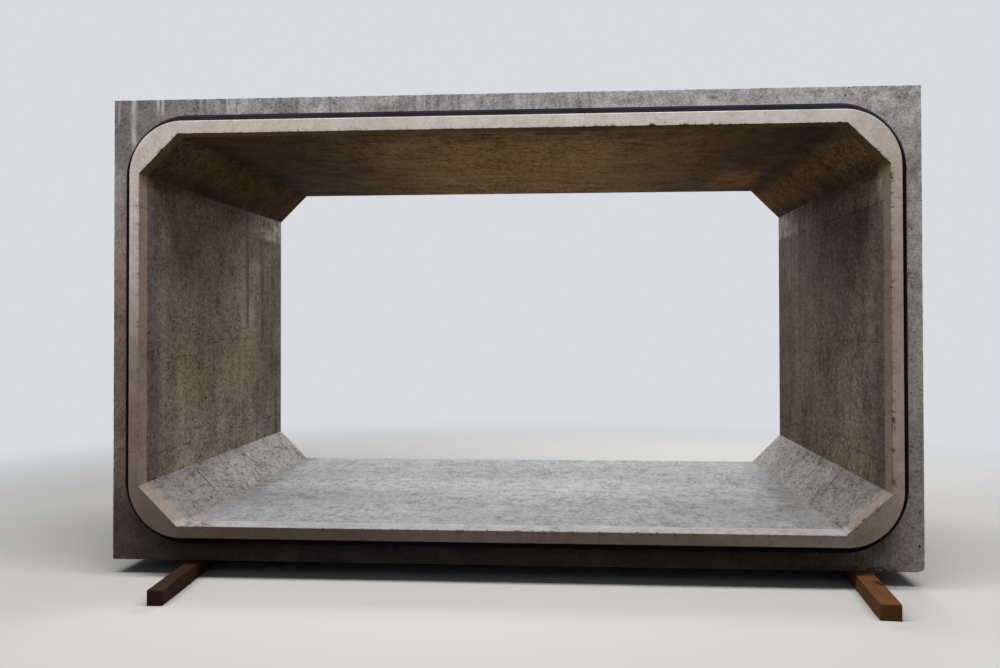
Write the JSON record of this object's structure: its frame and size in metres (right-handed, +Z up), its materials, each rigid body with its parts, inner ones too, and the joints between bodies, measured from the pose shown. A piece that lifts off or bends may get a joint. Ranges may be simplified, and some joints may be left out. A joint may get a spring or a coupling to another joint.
{
  "type": "precast concrete box culvert unit",
  "caption": "Precast concrete box culvert unit with haunched corners, a spigot end with a rubber ring, a socket end, roof lifting anchors and timber bearers under it.",
  "frame": {"origin": "on the ground under the middle of the unit and its bearers", "axes": "+X to the right across the span, as seen from the spigot end; +Y through the waterway, from the spigot end to the socket end; +Z up"},
  "size_m": [4.15, 3.1652, 2.495],
  "materials": {
    "concrete": "cast concrete, matt, streaked and pitted",
    "seal_rubber": "smooth satin black rubber",
    "anchor_steel": "forged steel, dull with light rust",
    "bearer_timber": "rough sawn softwood, weathered"
  },
  "bodies": {
    "root": {"box_unit": "concrete", "joint_seal": "seal_rubber", "lifting_anchor_front_left": "anchor_steel", "lifting_anchor_front_right": "anchor_steel", "lifting_anchor_rear_left": "anchor_steel", "lifting_anchor_rear_right": "anchor_steel", "bearer_front_left": "bearer_timber", "bearer_front_right": "bearer_timber", "bearer_rear_left": "bearer_timber", "bearer_rear_right": "bearer_timber"}
  },
  "joints": []
}
